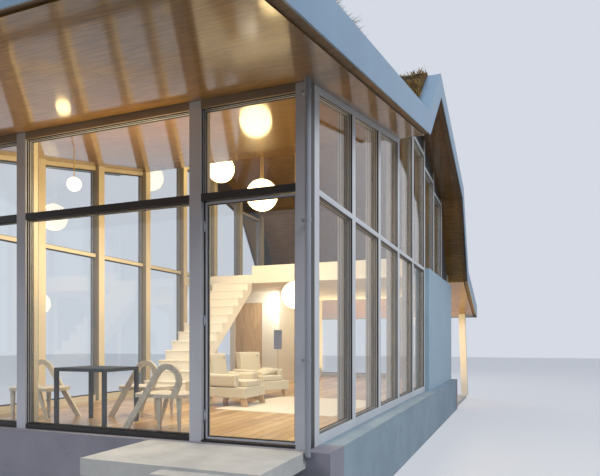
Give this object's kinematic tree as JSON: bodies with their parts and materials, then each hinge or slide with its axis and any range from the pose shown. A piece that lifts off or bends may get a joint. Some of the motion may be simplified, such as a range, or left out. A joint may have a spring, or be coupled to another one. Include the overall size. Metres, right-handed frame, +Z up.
{
  "type": "beach house",
  "caption": "Raised glazed beach house with a folded grass-covered roof on slim posts, a hinged glass door over a landing with steps, an open living room, gallery and stair, and a porch behind.",
  "frame": {"origin": "on the ground, under the middle of the roof's outline", "axes": "the glazed front with the door and landing faces -Y, the porch is towards +Y, +Z is up"},
  "size_m": [6.612, 17.83, 7.2266],
  "materials": {
    "rendered_base": "matte",
    "concrete": "matte",
    "oak_boards": "satin",
    "frame_paint": "satin",
    "dark_rail": "satin",
    "side_rail": "satin",
    "glass": "polished",
    "hinge_steel": "brushed",
    "blue_panel": "satin",
    "dark_infill": "satin",
    "roof_deck": "matte",
    "veneer": "gloss",
    "grass_mat": "matte",
    "blue_trim": "satin",
    "white_paint": "matte",
    "door_wood": "satin",
    "table_paint": "satin",
    "chair_wood": "satin",
    "armchair_cloth": "matte",
    "foot_wood": "satin",
    "rug_cloth": "matte",
    "lamp_shade": "matte",
    "lamp_globe": "opal",
    "lamp_stem": "brushed"
  },
  "bodies": {
    "house": {"plinth_ends": "rendered_base", "plinth_sides": "rendered_base", "floor_slab": "concrete", "floor_boards": "oak_boards", "landing": "concrete", "entry_steps": "concrete", "front_posts": "frame_paint", "front_rails": "dark_rail", "front_glass": "glass", "door_hinges": "hinge_steel", "side_posts": "frame_paint", "side_rails": "side_rail", "side_glass_lower": "glass", "side_glass_upper": "glass", "side_panels": "blue_panel", "gable_infills": "dark_infill", "rear_posts": "frame_paint", "rear_rails": "frame_paint", "rear_glass": "glass", "roof_front": "roof_deck", "roof_rise": "roof_deck", "roof_back": "roof_deck", "roof_steep": "roof_deck", "roof_porch": "roof_deck", "soffit_boards": "veneer", "roof_grass": "grass_mat", "trim_sides": "blue_trim", "trim_ends": "blue_trim", "porch_deck": "concrete", "porch_columns": "white_paint", "downpipe": "frame_paint", "stair_flight": "white_paint", "gallery_floor": "white_paint", "gallery_parapet": "white_paint", "partition": "white_paint", "partition_door": "door_wood", "table_top": "table_paint", "table_legs": "table_paint", "chair_seats": "chair_wood", "chair_frames": "chair_wood", "armchair_bases": "armchair_cloth", "armchair_arms": "armchair_cloth", "armchair_backs": "armchair_cloth", "armchair_cushions": "armchair_cloth", "armchair_feet": "foot_wood", "rug": "rug_cloth", "floor_lamp": "lamp_shade", "pendant_globes": "lamp_globe", "pendant_stems": "lamp_stem"},
    "door": {"door_frame": "frame_paint", "door_glass": "glass"}
  },
  "joints": [
    {"name": "door_hinge", "type": "hinge", "parent": "house", "child": "door", "pos_m": [1.487, -6.103, 2.2], "axis": [0, 0, -1], "range_deg": [0, 90]}
  ]
}
